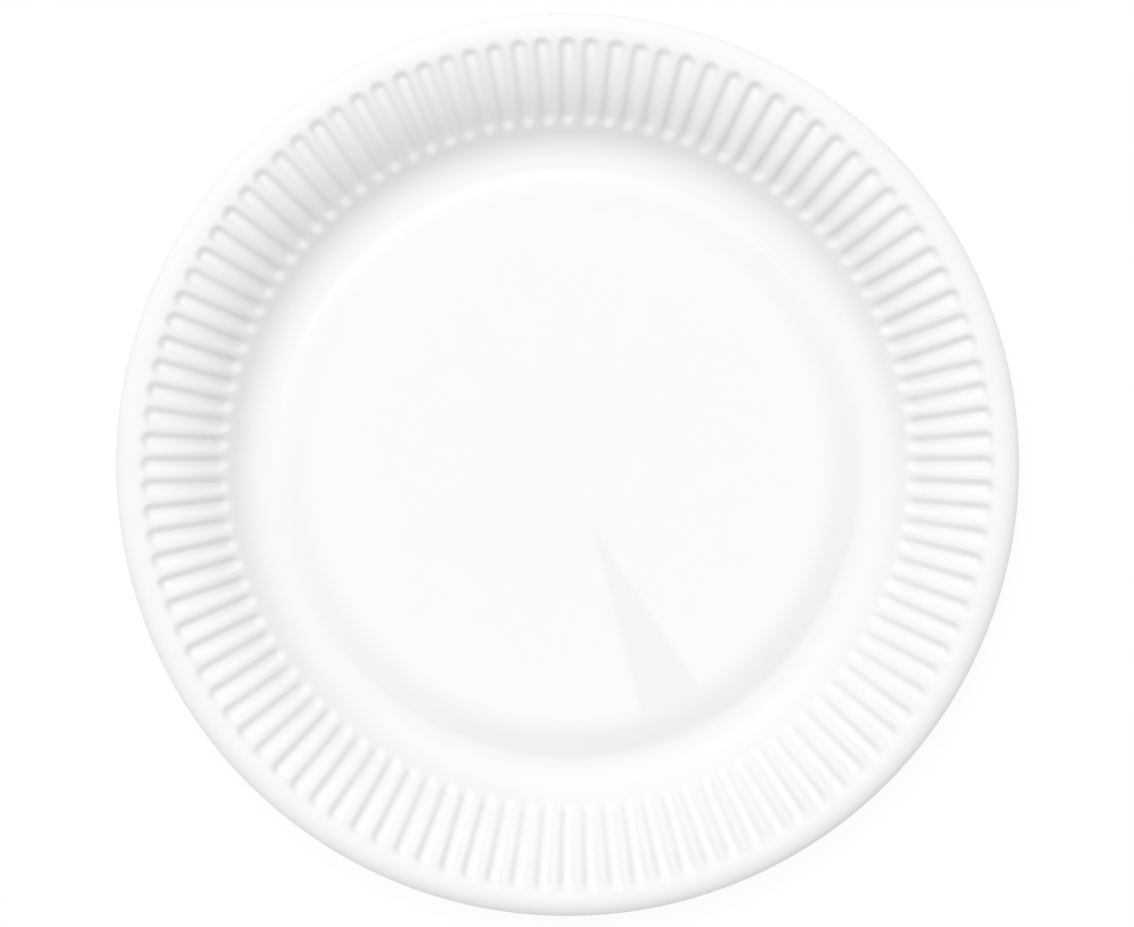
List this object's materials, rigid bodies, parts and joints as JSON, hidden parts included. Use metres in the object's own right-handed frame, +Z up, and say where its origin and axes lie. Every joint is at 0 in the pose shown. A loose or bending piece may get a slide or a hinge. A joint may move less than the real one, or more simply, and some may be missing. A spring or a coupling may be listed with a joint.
{
  "type": "paper plate",
  "caption": "Round shallow plate pressed from one sheet of white board, with a raised flat middle, a flared wall of fine flutes and a rolled-down edge.",
  "frame": {"origin": "centre of the foot's underside, on the surface that the plate stands on", "axes": "+Z up out of the plate's open side, along its axis of symmetry, +X through the middle of a flute"},
  "size_m": [0.23, 0.23, 0.016],
  "materials": {
    "board": "plain uncoated white board with a faint sheen"
  },
  "bodies": {
    "root": {"plate": "board"}
  },
  "joints": []
}
